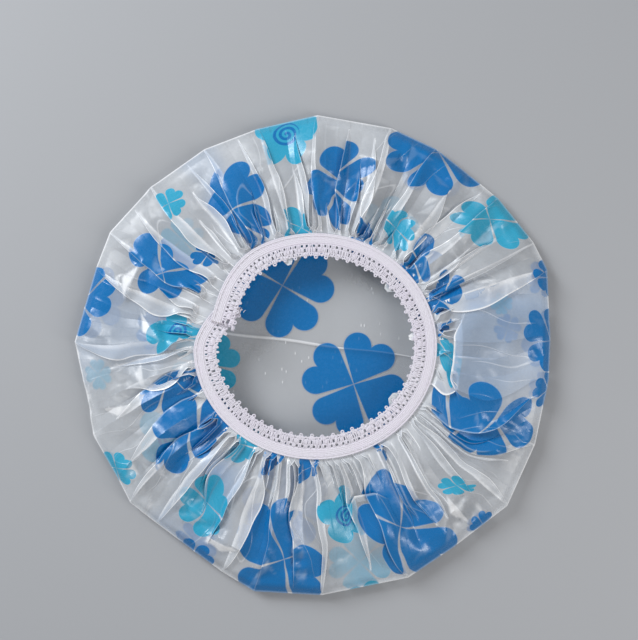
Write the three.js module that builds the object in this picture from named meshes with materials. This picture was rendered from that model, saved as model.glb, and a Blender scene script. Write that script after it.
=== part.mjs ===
// A shower cap lying on its crown with the mouth up: one gathered sheet of clear film, and a
// lace-edged elastic band sewn round the mouth with a lockstitch seam.
// Millimetres, +Z up. The origin is the middle of the crown's underside, on the table.
import * as THREE from "three";

// Film: one disc of sheet, folded over at the rim and gathered in to the mouth.
const CAP_DIAMETER = 280;
const FILM_THICKNESS = 0.12;
const CROWN_FLAT_RADIUS = 108;
const RIM_HEIGHT = 13;
const SKIRT_HEIGHT = 22;
const FOLD_HEIGHT = 4;
const HEM_HEIGHT = 20;
const HEM_MARGIN = 2;
const HEM_WIDTH = 12;

// Corners of the rim, where the main folds run out: degrees round the crown, and millimetres that
// the corner lies outside half the cap's diameter.
const RIM_CORNERS = [
  [4, -1], [20, 5.5], [27, 4.5], [40, 1.5], [50, -1], [59, 0], [71, 0], [89, 0], [104, -4],
  [118, -4], [134, -3.5], [149, -1], [158, -3], [177, 0], [193, -5], [200, -2.5], [212, -4.5],
  [219, -2], [227, -5], [247, -2], [256, 3], [272, 1], [293, 2], [306, -0.5], [322, 4], [338, 0],
  [354, -1.5],
];

// Mouth: the band's outer edge is an oval, a little behind the middle of the crown.
const MOUTH_LENGTH = 140;
const MOUTH_DEPTH = 130;
const MOUTH_X = 1;
const MOUTH_Y = 5;

// Band: an elastic tape with square-cut rubber cores, and a lace edge towards the mouth's middle.
const TAPE_WIDTH = 6.2;
const TAPE_WALL = 0.3;
const EDGE_THINNING = 0.7;
const CORE_COUNT = 3;
const CORE_SIDE = 0.6;
const CORE_CLEARANCE = 0.15;
const LACE_WIDTH = 8.2;
const LACE_THICKNESS = 0.8;
const LACE_REPEATS = 62;
const PICOT_RADIUS = 1.3;
const PICOT_HOLE = 0.6;
const SLIT_LENGTH = 2.2;
const SLIT_WIDTH = 0.8;
const BAND_STEPS = 50;

// Lap: the band's two cut ends overlap on the left, the last end on top and set in further.
const LAP_START = 150;
const LAP_OVERLAP = 15;
const LAP_START_INSET = 9;
const LAP_END_INSET = 8;
const LAP_START_EASE = 34;
const LAP_END_EASE = 48;
const LAP_CLIMB = 16;

// Seam: a needle thread over the tape and a bobbin thread under the film.
const THREAD_SIZE = 0.4;
const THREAD_WAVE = 0.25;
const STITCH_LENGTH = 4;
const SEAM_INSET = 1.7;

// Gap between pieces that are sewn together, and how far a thread's ends stop short of the lap.
const SEAT_GAP = 0.3;
const SEAM_END = 2;

const TAPE_THICKNESS = CORE_SIDE + 2 * (CORE_CLEARANCE + TAPE_WALL);
const BAND_BASE = HEM_HEIGHT + SEAT_GAP;
const LAP_END = LAP_START + 360 + LAP_OVERLAP;
const LAP_LIFT = TAPE_THICKNESS + SEAT_GAP;

const radians = THREE.MathUtils.degToRad;
const ease = (t) => THREE.MathUtils.smoothstep(t, 0, 1);

function closedGeometry(points, triangles) {
  const geometry = new THREE.BufferGeometry().setFromPoints(points);
  geometry.setIndex(triangles.flat());
  geometry.computeVertexNormals();
  return geometry;
}

// Two triangles for the four-sided face a b c d, seen counter-clockwise from outside.
const quad = (a, b, c, d) => [[a, b, c], [a, c, d]];

// Outer edge of the band at an angle round the mouth, with no lap.
function mouthEdge(degrees, inset = 0) {
  const turn = radians(degrees);
  return new THREE.Vector2(
    MOUTH_X + (MOUTH_LENGTH / 2 - inset) * Math.cos(turn),
    MOUTH_Y + (MOUTH_DEPTH / 2 - inset) * Math.sin(turn),
  );
}

// How far the band is set in from the oval, near its two cut ends.
function bandInset(degrees) {
  const fromStart = (degrees - LAP_START) / LAP_START_EASE;
  const toEnd = (degrees - (LAP_END - LAP_END_EASE)) / LAP_END_EASE;
  return LAP_START_INSET * (1 - ease(fromStart)) + LAP_END_INSET * ease(toEnd);
}

// How far the band has climbed to lie on its own first end.
function bandClimb(degrees) {
  const climbEnd = LAP_START + 360 - LAP_CLIMB / 8;
  return LAP_LIFT * ease((degrees - (climbEnd - LAP_CLIMB)) / LAP_CLIMB);
}

// A point of the band: across is measured in from its outer edge, up from its underside.
function bandPoint(degrees, across, up) {
  const step = 0.5;
  const edge = mouthEdge(degrees, bandInset(degrees));
  const ahead = mouthEdge(degrees + step, bandInset(degrees + step));
  const behind = mouthEdge(degrees - step, bandInset(degrees - step));
  const along = ahead.sub(behind).normalize();
  return new THREE.Vector3(
    edge.x - along.y * across,
    edge.y + along.x * across,
    BAND_BASE + bandClimb(degrees) + up,
  );
}

// Edges that belong to one triangle only, in that triangle's direction.
function openEdges(faces) {
  const edges = faces.flatMap(([a, b, c]) => [[a, b], [b, c], [c, a]]);
  const known = new Set(edges.map(String));
  return edges.filter(([a, b]) => !known.has(String([b, a])));
}

// A body with the same cross-section all along the band, between two angles. The section's corners
// are across and up, its faces counter-clockwise.
function sweepBand({ corners, faces }, startAngle, endAngle, steps, wave = () => 0) {
  const points = [];
  for (let i = 0; i <= steps; i++) {
    const degrees = THREE.MathUtils.lerp(startAngle, endAngle, i / steps);
    for (const [across, up] of corners) points.push(bandPoint(degrees, across, up + wave(i, degrees)));
  }
  const ring = corners.length;
  const last = steps * ring;
  const triangles = [];
  for (const [a, b, c] of faces) triangles.push([a, c, b], [last + a, last + b, last + c]);
  for (const [a, b] of openEdges(faces)) {
    for (let i = 0; i < last; i += ring) triangles.push(...quad(i + a, i + b, i + ring + b, i + ring + a));
  }
  return closedGeometry(points, triangles);
}

function squareSection(across, up, side) {
  const half = side / 2;
  const corners = [[-half, -half], [half, -half], [half, half], [-half, half]];
  return { corners: corners.map(([x, y]) => [across + x, up + y]), faces: quad(0, 1, 2, 3) };
}

// Film. Each column of its grid starts on the crown under the mouth, runs out to the rim, and comes
// back over the skirt to the mouth. Columns at the rim's corners are ridges, those between valleys.
function filmColumn(corner, next, isRidge) {
  const cap = CAP_DIAMETER / 2;
  const place = ([degrees, outside]) =>
    new THREE.Vector2(cap + outside, 0).rotateAround(new THREE.Vector2(), radians(degrees));
  const rim = isRidge ? place(corner) : place(corner).lerp(place(next), 0.5);
  const angle = THREE.MathUtils.radToDeg(Math.atan2(rim.y, rim.x));
  const hem = mouthEdge(angle, -HEM_MARGIN);
  const edge = mouthEdge(angle, HEM_WIDTH);
  const flat = rim.clone().setLength(CROWN_FLAT_RADIUS);
  const fold = (isRidge ? 1 : -1) * FOLD_HEIGHT;
  const at = (from, to, share, z) => {
    const { x, y } = from.clone().lerp(to, share);
    return new THREE.Vector3(x, y, z);
  };
  return [
    at(flat, flat, 0, 0).multiplyScalar(0.55),
    at(flat, flat, 0, 0),
    at(flat, rim, 0.68, RIM_HEIGHT * 0.12),
    at(flat, rim, 1, RIM_HEIGHT * 0.5),
    at(rim, hem, 0.07, RIM_HEIGHT + fold * 0.2),
    at(rim, hem, 0.32, THREE.MathUtils.lerp(RIM_HEIGHT, SKIRT_HEIGHT, 0.75) + fold * 0.8),
    at(rim, hem, 0.6, SKIRT_HEIGHT + fold),
    at(rim, hem, 0.82, THREE.MathUtils.lerp(SKIRT_HEIGHT, HEM_HEIGHT, 0.5) + fold * 0.6),
    at(hem, hem, 0, HEM_HEIGHT),
    at(edge, edge, 0, HEM_HEIGHT),
  ];
}

function filmGeometry() {
  const columns = RIM_CORNERS.flatMap((corner, i) => {
    const following = RIM_CORNERS[(i + 1) % RIM_CORNERS.length];
    return [filmColumn(corner, following, true), filmColumn(corner, following, false)];
  });
  const count = columns.length;
  const rows = columns[0].length;
  const underMouth = new THREE.Vector3(MOUTH_X, MOUTH_Y, 0);
  const outside = [underMouth, ...columns.flat()];
  const at = (column, row) => 1 + (column % count) * rows + row;
  const faces = [];
  for (let i = 0; i < count; i++) {
    faces.push([0, at(i + 1, 0), at(i, 0)]);
    for (let j = 0; j + 1 < rows; j++) {
      faces.push(...quad(at(i, j), at(i + 1, j), at(i + 1, j + 1), at(i, j + 1)));
    }
  }
  const normals = closedGeometry(outside, faces).getAttribute("normal");
  const inside = outside.map((point, k) =>
    new THREE.Vector3().fromBufferAttribute(normals, k).multiplyScalar(-FILM_THICKNESS).add(point));
  const under = outside.length;
  const hemWall = [];
  for (let i = 0; i < count; i++) {
    const a = at(i, rows - 1);
    const b = at(i + 1, rows - 1);
    hemWall.push(...quad(a, b, under + b, under + a));
  }
  const back = faces.map(([a, b, c]) => [under + a, under + c, under + b]);
  return closedGeometry([...outside, ...inside], [...faces, ...back, ...hemWall]);
}

// Tape. Its section is a grid of four rows, thinner at the two edges, with one bay of the middle row
// left open for each rubber core.
const coreAcross = (k) => (TAPE_WIDTH * (k + 1)) / (CORE_COUNT + 1);
const coreNumbers = Array.from({ length: CORE_COUNT }, (_, k) => k);

function tapeSection() {
  const half = CORE_SIDE / 2 + CORE_CLEARANCE;
  const channelEdges = coreNumbers.flatMap((k) => [coreAcross(k) - half, coreAcross(k) + half]);
  const stations = [0, ...channelEdges, TAPE_WIDTH];
  const corners = stations.flatMap((across, i) => {
    const thinner = i === 0 || i === stations.length - 1 ? TAPE_WALL * EDGE_THINNING : 0;
    const rows = [thinner, TAPE_WALL, TAPE_THICKNESS - TAPE_WALL, TAPE_THICKNESS - thinner];
    return rows.map((up) => [across, up]);
  });
  const faces = [];
  for (let i = 0; i + 1 < stations.length; i++) {
    for (let row = 0; row < 3; row++) {
      const isChannel = row === 1 && i % 2 === 1;
      const a = 4 * i + row;
      if (!isChannel) faces.push(...quad(a, a + 4, a + 5, a + 1));
    }
  }
  return { corners, faces };
}

function tapeGeometry() {
  return sweepBand(tapeSection(), LAP_START, LAP_END, BAND_STEPS);
}

function coreGeometry(k) {
  const section = squareSection(coreAcross(k), TAPE_THICKNESS / 2, CORE_SIDE);
  return sweepBand(section, LAP_START, LAP_END, BAND_STEPS);
}

// One repeat of the lace, flat: x runs from 0 to 1 along the band, y in millimetres from the tape.
function laceRepeat() {
  const pitch = (Math.PI * (MOUTH_LENGTH + MOUTH_DEPTH)) / 2 / LACE_REPEATS;
  const valley = LACE_WIDTH - 2 * PICOT_RADIUS;
  const tip = LACE_WIDTH - PICOT_RADIUS;
  const picot = (degrees, radius) => new THREE.Vector2(
    0.5 + (radius / pitch) * Math.cos(radians(degrees)),
    tip + radius * Math.sin(radians(degrees)),
  );
  const outline = [
    new THREE.Vector2(0, 0),
    new THREE.Vector2(1, 0),
    new THREE.Vector2(1, valley),
    picot(-35, PICOT_RADIUS),
    picot(35, PICOT_RADIUS),
    picot(90, PICOT_RADIUS),
    picot(145, PICOT_RADIUS),
    picot(215, PICOT_RADIUS),
    new THREE.Vector2(0, valley),
  ];
  const picotHole = [0, 270, 180, 90].map((degrees) => picot(degrees, PICOT_HOLE));
  const slitFoot = valley / 2 - SLIT_LENGTH / 2;
  const slit = (side) => [
    new THREE.Vector2(0.5 + side * 0.1, slitFoot),
    new THREE.Vector2(0.5 + side * 0.2, slitFoot + SLIT_LENGTH),
    new THREE.Vector2(0.5 + side * (0.2 + SLIT_WIDTH / pitch), slitFoot + SLIT_LENGTH * 0.8),
  ];
  return { outline, holes: [picotHole, slit(-1).reverse(), slit(1)] };
}

function laceGeometry() {
  const { outline, holes } = laceRepeat();
  const corners = [outline, ...holes].flat();
  const faces = THREE.ShapeUtils.triangulateShape(outline, holes);
  const base = (TAPE_THICKNESS - LACE_THICKNESS) / 2;
  const points = [];
  const triangles = [];
  const wall = (a, b) => triangles.push(...quad(a, b, b + 1, a + 1));
  for (let i = 0; i < LACE_REPEATS; i++) {
    const start = points.length;
    for (const { x, y } of corners) {
      const degrees = THREE.MathUtils.lerp(LAP_START, LAP_END, (i + x) / LACE_REPEATS);
      const across = TAPE_WIDTH + SEAT_GAP + y;
      points.push(bandPoint(degrees, across, base), bandPoint(degrees, across, base + LACE_THICKNESS));
    }
    const low = (k) => start + 2 * k;
    for (const [a, b, c] of faces) {
      triangles.push([low(a), low(c), low(b)], [low(a) + 1, low(b) + 1, low(c) + 1]);
    }
    let first = 0;
    for (const loop of [outline, ...holes]) {
      for (let k = 0; k < loop.length; k++) {
        const isCut = loop === outline && (k === 1 || k === loop.length - 1);
        const isBandEnd = (i === 0 && k === loop.length - 1) || (i === LACE_REPEATS - 1 && k === 1);
        if (!isCut || isBandEnd) wall(low(first + k), low(first + ((k + 1) % loop.length)));
      }
      first += loop.length;
    }
  }
  return closedGeometry(points, triangles);
}

// Threads. Each rises and falls once in every stitch. The one over the tape climbs with the lap, the
// one under the film stays level.
function threadGeometry(height, rise, climbs) {
  const start = LAP_START + LAP_OVERLAP + SEAM_END;
  const end = LAP_END - SEAM_END;
  const seamLength = (Math.PI * (MOUTH_LENGTH + MOUTH_DEPTH) / 2) * ((end - start) / 360);
  const stitches = Math.max(8, Math.round(seamLength / STITCH_LENGTH));
  const section = squareSection(SEAM_INSET, height, THREAD_SIZE);
  const wave = (i, degrees) => (i % 2) * rise - (climbs ? 0 : bandClimb(degrees));
  return sweepBand(section, start, end, 2 * stitches, wave);
}

const needleHeight = TAPE_THICKNESS + SEAT_GAP + THREAD_SIZE / 2;
const bobbinHeight = -SEAT_GAP - FILM_THICKNESS - SEAT_GAP - THREAD_SIZE / 2;

const cap = new THREE.Group();

function addPiece(name, geometry, color, roughness, opacity = 1) {
  const material = new THREE.MeshStandardMaterial({
    color, roughness, metalness: 0, opacity, transparent: opacity < 1,
  });
  const mesh = new THREE.Mesh(geometry, material);
  mesh.name = name;
  cap.add(mesh);
}

addPiece("film", filmGeometry(), 0xc9d3dc, 0.3, 0.5);
addPiece("elastic_tape", tapeGeometry(), 0xf1edf2, 0.9);
addPiece("lace_edge", laceGeometry(), 0xf6f2f7, 0.9);
for (const k of coreNumbers) addPiece(`rubber_core_${k + 1}`, coreGeometry(k), 0xe3d9c4, 0.7);
addPiece("needle_thread", threadGeometry(needleHeight, THREAD_WAVE, true), 0xffffff, 0.8);
addPiece("bobbin_thread", threadGeometry(bobbinHeight, -THREAD_WAVE, false), 0xffffff, 0.8);

export default cap;
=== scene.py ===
"""A clear printed shower cap lying on its crown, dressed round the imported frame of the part."""
import math
from functools import partial, reduce
from itertools import product

import bpy
import numpy as np
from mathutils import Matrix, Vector
from mathutils.geometry import delaunay_2d_cdt


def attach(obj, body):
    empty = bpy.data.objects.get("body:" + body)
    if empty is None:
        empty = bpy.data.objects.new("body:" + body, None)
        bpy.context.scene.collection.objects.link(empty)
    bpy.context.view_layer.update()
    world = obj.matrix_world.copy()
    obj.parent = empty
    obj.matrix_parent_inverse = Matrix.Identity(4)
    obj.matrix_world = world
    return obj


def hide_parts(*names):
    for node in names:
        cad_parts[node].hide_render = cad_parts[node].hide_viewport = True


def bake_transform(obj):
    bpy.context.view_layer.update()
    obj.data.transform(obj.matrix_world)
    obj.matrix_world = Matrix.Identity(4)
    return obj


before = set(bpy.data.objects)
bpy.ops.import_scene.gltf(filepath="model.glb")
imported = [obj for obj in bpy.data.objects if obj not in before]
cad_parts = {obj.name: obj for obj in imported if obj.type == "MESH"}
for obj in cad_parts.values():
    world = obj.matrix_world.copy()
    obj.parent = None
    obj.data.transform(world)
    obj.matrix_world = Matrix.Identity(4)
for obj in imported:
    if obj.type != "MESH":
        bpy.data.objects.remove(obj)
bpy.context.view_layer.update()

MM = 0.001
TURN = 2 * math.pi
FILM_SEED, CRUMPLE_SEED, LACE_SEED, FRAY_SEED = 11, 3, 5, 9

# Cap, in millimetres and degrees: the same rim, mouth and band as the frame's solids.
CAP_RADIUS = 140
RIM_CORNERS = [
    (4, -1), (20, 5.5), (27, 4.5), (40, 1.5), (50, -1), (59, 0), (71, 0), (89, 0), (104, -4),
    (118, -4), (134, -3.5), (149, -1), (158, -3), (177, 0), (193, -5), (200, -2.5), (212, -4.5),
    (219, -2), (227, -5), (247, -2), (256, 3), (272, 1), (293, 2), (306, -0.5), (322, 4), (338, 0),
    (354, -1.5),
]
MOUTH_CENTRE = np.array([1.0, 5.0])
MOUTH_AXES = np.array([70.0, 65.0])
BAND_BASE = 20.3
BAND_WIDTH = 14.5
TAPE_WIDTH = 6.2
TAPE_THICKNESS = 1.5
LAP_START, LAP_END = 150, 525
LAP_START_INSET, LAP_END_INSET = 9, 8
LAP_START_EASE, LAP_END_EASE = 34, 48
LAP_CLIMB, CLIMB_END = 16, 508
LAP_LIFT = 1.8

# Film: radii on the flat disc that it is cut from, and heights over the table.
FLAT_RADIUS = 230
CROWN_EDGE = 104
CROWN_FLAT = 108
RIM_FOLD = 143
SEAM_LINE = 217
CROWN_LEVEL = 0.1
RIM_LEVEL = 6.5
HEM_WIDTH, HEM_OUTSIDE = 11.5, 1.0
SHARP_FOLD = 40

# Powers by which the rim's roll swells out and rises.
RIM_SWELL, RIM_RISE = 1.5, 2.2

# Rows of the film's grid, and steps of the curves that they follow.
RIM_ROWS, SKIRT_ROWS, HEM_ROWS = 11, 44, 7
CURVE_STEPS = 2400

# A share is a place on the skirt, from the rim (0) to the band (1): its height there, and its ridges'.
SKIRT_SHARES = [0, 0.07, 0.32, 0.6, 0.82, 1]
SKIRT_LEVELS = [RIM_LEVEL, 12.3, 18.2, 20.6, 20.2, 19.75]
RIDGE_HEIGHTS = [0, 0.6, 2.6, 3.2, 1.9, 0]

# Stretches of the skirt, in degrees, where the film lies in smooth panels.
CALM_PANELS = [(-6, 20), (160, 176), (186, 214), (296, 320), (44, 58)]

# Ranges of the random folds: at the rim's corners, between them, and gathers at the band.
CALM_STARTS = (0.1, 0.4)
CORNER_SIZES, CORNER_LEANS = (0.6, 1.9), (55, 78)
MIDDLE_PLACES, WIDE_SIDE = (0.35, 0.65), 12
MIDDLE_STARTS, MIDDLE_SIZES, MIDDLE_LEANS = (0.08, 0.4), (0.5, 1.5), (52, 76)
GATHER_SPACING, GATHER_JITTER = 3, 0.25
GATHER_STARTS, GATHER_SIZES, GATHER_LEANS = (0.42, 0.82), (0.4, 1.0), (35, 78)

# Folds that run nearly from rim to band: angle, the share where each starts, and size.
LONG_FOLDS = [
    (124, 0.02, 1.3), (110.5, 0.02, 1.1), (141.5, 0.02, 1.2), (93.5, 0.1, 1.3), (80, 0.06, 1.8),
    (75.5, 0.1, 1.4), (50, 0.2, 1.3), (43.5, 0.05, 1.3), (20, 0.0, 2.2), (283, 0.1, 1.3), (265, 0.05, 1.3),
    (240, 0.1, 1.2), (299, 0.25, 1.0), (303, 0.3, 1.2), (309.5, 0.2, 1.3), (313, 0.3, 1.1),
    (317, 0.25, 1.2), (4, 0.82, 0.6), (354, 0.85, 0.6), (350.4, 0.1, 0.7), (344, 0.3, 0.9),
]

# Folds that lean to a set side: angle and lean.
SET_LEANS = [(20, -74)]

# Stretches where the folds bend round: middle, half spread and turn, in degrees.
BENDS = [(-13, 26, -13)]
BEND_SHARES = (0.05, 0.55)

# How folds stray on their way to the band: fewest and most waves, size and jitter, in degrees.
DRIFT = (2, 7, 4.5, 0.7)
BOW = (3, 9, 1.5, 0.5)
WOBBLE, WOBBLE_WAVES = 0.35, 9
LEAST_STEP = 0.8

# How folds grow, even out over some degrees, rise at the band and are pressed under it.
FOLD_GROWTH, LEAST_FOLD = 0.3, 0.002
EVEN_SHARES, EVEN_SPREAD = (0.4, 0.98), 10
RISE_SHARES, FOLD_RISE = (0.6, 0.92), 0.55
PRESS_START = 0.96

# Wide folds lie down beside the band: shares, heights of walls, how far, and a flat fold's lean.
LAID_SHARES, WIDE_WALLS = (0.4, 0.7), (4.5, 8)
FULLY_LAID, FLAT_LEAN = 0.9, 87

# Room between a fold's walls, and the swell of the film from fold to fold.
FOLD_ROOM, FOLD_ROOM_SHARE = 0.3, 0.1
SWELL_WIDTH, SWELL_SHARE = 14, 0.06

# Places where the film's raw edge shows past the lace: angle, extra width, half its spread.
HEM_TAGS = [(106, 5, 4), (41, 4.5, 5), (6, 4.5, 4), (-36, 5, 7)]
TAG_BLUNTNESS = 1.5

# Pyramid-shaped dents, with a painted highlight on one side: place, half width, half length, height and
# turn.
DENTS = [
    (-103.5, 42, 9, 16, 7, -26), (-93, 17, 8, 14, 6, 35), (-113, -29, 8, 13, 6, 100),
    (84, -88, 8, 16, 5, 40), (98, 70, 8, 15, -4, 130), (-52, -108, 8, 14, 5, 70),
]
# The dents' painted highlight: its strength, the height at which it is full, and how far it spreads in
# from the edge and from the crest.
DENT_HIGHLIGHT, FULL_DENT = 0.85, 5
DENT_EDGE, DENT_CREST = 0.4, 0.2

# Small crumples strewn over the skirt: how many, the shares where they lie, and their sizes.
CRUMPLES = 130
CRUMPLE_SHARES = (0.04, 0.6)
CRUMPLE_HEIGHTS, CRUMPLE_WIDTHS, CRUMPLE_LENGTHS = (0.8, 2.0), (4, 8), (7, 14)

# Tucks, where the skirt laps over its own gathers: angle, half its spread, share of its edge, reach.
TUCKS = [(-1, 19, 0.73, 10), (-70, 9, 0.58, 9)]
TUCK_RISE, TUCK_LENGTH, TUCK_ROOM, TUCK_EASE = 2.6, 0.5, 0.06, 0.6

# Slight waves of the skirt.
RIPPLES, RIPPLE_HEIGHT, RIPPLE_FULLNESS = 8, 0.54, 0.7
RIPPLE_LENGTHS = (22, 60)

# Bends of the film, in radians, and lengths beside them that show as white lines: film whitened at the
# crease, with a painted highlight along the crest.
WHITE_BENDS, WHITE_LENGTHS = (0.5, 2.0), (0.04, 0.25)
RIM_WHITE = 0.8

# The long crease across the crown: its ends, section and sway, and where it is broadly white, as film
# whitened at the crease with a painted highlight on it.
CREASE_START, CREASE_END = np.array([-86.0, 17.0]), np.array([86.0, -5.0])
CREASE_HEIGHT, CREASE_WIDTH = 1.3, 3.2
CREASE_OFFSETS = (-CREASE_WIDTH, -1.3, -0.7, 0, 0.7, 1.3, CREASE_WIDTH)
CREASE_STEP, CREASE_SWAY, CREASE_WAVE = 2.5, 0.4, 9
BROAD_WHITE, BROAD_START, BROAD_END = 0.5, (0.12, 0.2), (0.5, 0.62)

# The crown's field of points: reach in rows, spacing, jitter and clear margins.
CROWN_REACH = 24
CROWN_STEP, CROWN_ROW, CROWN_JITTER = 5, 4.33, 0.8
CROWN_MARGIN, CREASE_SIDE, CREASE_TIP = 4, 1, 2

# Columns of the film's grid round one fold: up its first wall, down its second, over to the next.
COLUMN_CLIMB = np.array([0, 0.5, 0.88, 1, 0.88, 0.5, 0, 0, 0, 0, 0])
COLUMN_SIDE = np.array([-1, -1, -1, 0, 1, 1, 1, 1, 1, 1, 1])
COLUMN_ACROSS = np.array([0, 0, 0, 0, 0, 0, 0, 0.2, 0.4, 0.6, 0.8])
COLUMN_APART = np.array([0, -1, -0.8, 0, 0.8, 1, 0, 0, 0, 0, 0])

# Print on the flat disc, by kind: the angle and radius of each middle, its reach and its turn.
MOTIFS = {
    "blue": [
        (114.4, 44.4, 32, 15), (-37, 29.6, 32, 64), (171, 93, 14, 40), (-100, 90, 28, 10),
        (7.5, 116, 9, 25), (116, 189, 32, 71), (150.5, 187, 29, 60), (166.5, 139, 24, 77),
        (139.5, 203, 10, 0), (80.6, 186, 30, 62), (59, 144, 32, 34), (37, 210, 20, 10), (20, 211, 19, 40),
        (18.5, 143, 12, 30), (9, 214, 8, 0), (3.3, 143, 20, 30), (351.5, 142, 12, 0), (342, 181, 36, 58),
        (314.3, 143, 9, 0), (302.5, 217, 12, 10), (298.5, 170, 36, 10), (267.5, 214, 10, 0),
        (260.5, 163, 35, 15), (248.5, 215, 13, 0), (238, 137, 15, 0), (215.5, 200, 32, 20),
        (198, 201, 24, 17), (66, 217, 14, 30),
    ],
    "turquoise": [
        (185.6, 63.8, 21.5, 34), (-77.5, 127, 20, 0), (139, 103, 14, 0), (15, 115, 7, 0),
        (185.4, 131, 10, 0), (36, 157, 23, 10), (52, 201, 13, 20), (133.4, 161, 11, 10),
        (97.5, 214, 15, 0), (234, 173, 21, 20), (209, 146, 12, 0), (236, 214, 14, 0), (318, 172, 8.5, 30),
        (359, 210, 12, 0),
    ],
    "flower": [
        (60, 86, 20, 0), (-150, 98, 21, 0), (97.8, 152, 23, 0), (172, 207, 19, 0), (282.5, 185, 18, 0),
    ],
}

# Figures of the print, as shares of a motif's reach: lobes of a clover's leaves, petals and spiral.
LOBE_X, LOBE_Y, LOBE_RADIUS = 0.66, 0.24, 0.26
PETAL_PLACE, PETAL_RADIUS, FLOWER_MIDDLE = 0.6, 0.37, 0.42
SPIRAL_PITCH, SPIRAL_LINE, SPIRAL_EDGE = 0.15, (0.32, 0.22), (0.36, 0.34)
CLOVER_BLUR, FLOWER_BLUR = 0.012, 0.015

# Radii on the disc between which the film's looks change.
SCRATCHED_CROWN = (80.0, 100.0)
CROWN_TO_SKIRT = (90.0, 150.0)
STRAY_START = (135.0, 160.0)
GATHERS = (180.0, 214.0)

# Panels of the skirt with a painted bluish reflection: angle, half their spread, and radii of their two
# ends.
SHEEN_PANELS = [(175, 11), (2, 13), (233, 8), (121, 5)]
SHEEN_START, SHEEN_END = (128, 145), (190, 212)

# Opacity of the film, its crown's share of that, and what streaks and lines add.
FILM_OPACITY, INK_OPACITY = (0.32, 0.5), 0.96
CROWN_SHARE, STREAK_OPACITY, LINE_OPACITY = 0.6, 0.3, (0.5, 0.62)

# How white the film's stray creases (partly a painted highlight) and scratches are, and how far a painted
# highlight pales the ink along creases.
STRAY_WHITE, SCRATCH_WHITE, INK_HIGHLIGHT_SHARES = 0.45, 0.8, (0.08, 0.4)

# Relief of the film's cells, grain, stray creases and streaks, and its gloss.
FILM_RELIEF = (0.16, 0.05, 0.35, 0.9)
FILM_ROUGHNESS, FILM_IOR, FILM_GLOSS = (0.19, 0.34), 1.5, 0.55

# Tape, in millimetres: points of its section, across and up, and the pitch of its knitting.
TAPE_WELT = [
    (0.0, 0.5), (0.08, 1.15), (0.3, TAPE_THICKNESS), (0.62, TAPE_THICKNESS), (0.86, 1.36), (1.0, 1.28),
]
TAPE_RIB = [(0.2, 1.33), (0.48, 1.41), (0.76, 1.33), (0.96, 1.2)]
TAPE_RIBS, RIB_START, RIB_PITCH = 5, 1.05, 0.96
TAPE_UNDERSIDE = [
    (TAPE_WIDTH - 0.1, 0.9), (TAPE_WIDTH, 0.45), (TAPE_WIDTH - 0.1, 0.1), (TAPE_WIDTH - 0.6, 0.0),
    (3.0, 0.0), (0.6, 0.0), (0.1, 0.12),
]
TAPE_STEPS, TAPE_CUT, SHARP_WELT = 620, 0.25, 60
KNIT_PITCH, KNIT_ROW, KNIT_SLANT = 0.8, 0.48, 0.9

# Lace, in millimetres. A repeat's places run from 0 to 1.
LACE_REPEATS = 62
LACE_PITCH = 5.6
LACE_INSET = 6.35
LACE_LEVEL = 0.75
TUBE_SIDES, YARN_STEPS, ROW_STEPS, RING_STEPS = 6, 5, 9, 12
NEARLY_UP = (0.08, 0.05, 1)

# Yarns along the lace: place across, wave and waves in a repeat, bob and bobs in a repeat, radius.
LACE_ROWS = [
    (0.0, 0.1, 2, 0.12, 4, 0.42), (2.1, 0.15, 2, 0.12, 4, 0.5), (4.7, 0.16, 2, 0.12, 4, 0.48),
    (6.3, -0.3, 1, 0.1, 3, 0.45),
]

# Yarns across the lace: from, to, arch, radius, narrowing, bulge, which way they lean, places.
LACE_RUNGS = [
    (0.1, 2.1, 0.25, 0.46, 1, 0, 1, (-0.13, 0.0, 0.13, 0.43, 0.57)),
    (2.1, 4.7, 0.35, 0.47, 0.92, 0.1, 1, (-0.36, -0.216, -0.072, 0.072, 0.216, 0.36)),
    (4.7, 6.3, 0.22, 0.46, 1, 0, -1, (0.16, 0.31, 0.44, 0.56, 0.69, 0.84)),
]
LACE_LEAN = 0.05
LACE_LOOSE = (0.022, 0.08, 0.08, 0.03)

# Loops on the lace's scallops, and knots between them.
LOOP_SIZES, LOOP_TILTS, LOOP_FOOT, LOOP_YARN = (0.55, 0.85), (-0.25, 0.4), 6.5, 0.42
KNOT_SIZE, KNOT_PLACE, KNOT_LEVEL, KNOT_YARN = 0.24, 6.45, 0.15, 0.3

# Seam, in millimetres and degrees.
STITCHES, STITCH_STEPS = 110, 8
SEAM_INSET = 1.7
SEAM_START, SEAM_END = 167, 523
THREAD_RADIUS = 0.2
NEEDLE_LEVEL, BOBBIN_LEVEL = TAPE_THICKNESS + 0.05, -0.92
STITCH_DIP, STITCH_FULLNESS, STITCH_SWAY = 0.3, 0.4, 0.06

# Loose yarn ends: the cut, which way they point, how many, places across and reach in degrees.
FRAYS = [
    (LAP_END, 1, 46, (0.3, BAND_WIDTH), (0.5, 1.3)),
    (LAP_START, -1, 24, (0.3, BAND_WIDTH), (0.5, 1.2)),
    (LAP_END, 1, 9, (12.6, 14.4), (1.6, 3.2)),
]
FRAY_ROOT, FRAY_TAPER, FRAY_LEVELS = 0.8, 0.4, (0.3, 1.1)
HAIR_RADIUS, TUFT_RADIUS, TUFT_REACH = 0.2, 0.36, 1.5

# Colours, as linear light.
BLUE_INK = (0.0, 0.168, 0.47)
TURQUOISE_INK = (0.03, 0.39, 0.6)
# Pale blue of the painted highlight on ink along creases.
INK_HIGHLIGHT_BLUE = (0.75, 0.88, 1.0)
FILM_WHITE = (0.8, 0.83, 0.87)
# Blue of the painted reflection on some panels of the skirt.
SHEEN_BLUE = (0.54, 0.7, 0.94)
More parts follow.
